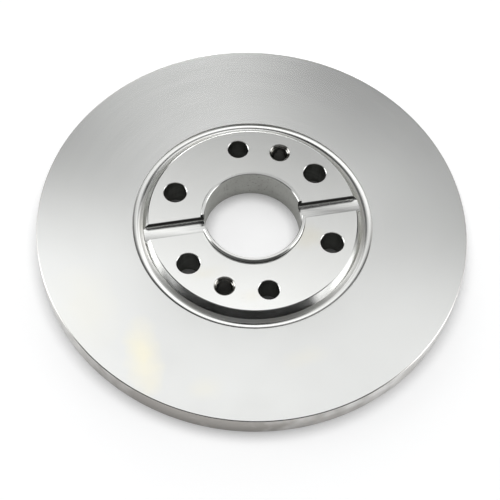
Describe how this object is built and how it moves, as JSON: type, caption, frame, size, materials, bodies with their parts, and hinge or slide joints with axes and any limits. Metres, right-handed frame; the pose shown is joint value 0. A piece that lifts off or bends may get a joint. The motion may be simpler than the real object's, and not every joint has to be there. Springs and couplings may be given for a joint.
{
  "type": "brake disc rotor",
  "caption": "Solid brake disc with a raised slotted mounting hub, a centring lip at the bore, bolt holes and puller threads.",
  "frame": {"origin": "centre of the bore at the disc's flat back face, on which it lies", "axes": "+Z along the axis of rotation, out of the raised mounting face; X along the two drive slots; Y across them"},
  "size_m": [0.28, 0.28, 0.024],
  "materials": {
    "friction_iron": "fine turned and ground braking faces, bright, with a duller ground rim",
    "hub_iron": "fine milled satin face with polished side, groove and slots",
    "sleeve_steel": "turned bright lip over a matte bore wall",
    "insert_steel": "bright cut thread"
  },
  "bodies": {
    "root": {"friction_ring": "friction_iron", "mounting_hub": "hub_iron", "centring_sleeve": "sleeve_steel", "thread_insert_1": "insert_steel", "thread_insert_2": "insert_steel"}
  },
  "joints": []
}
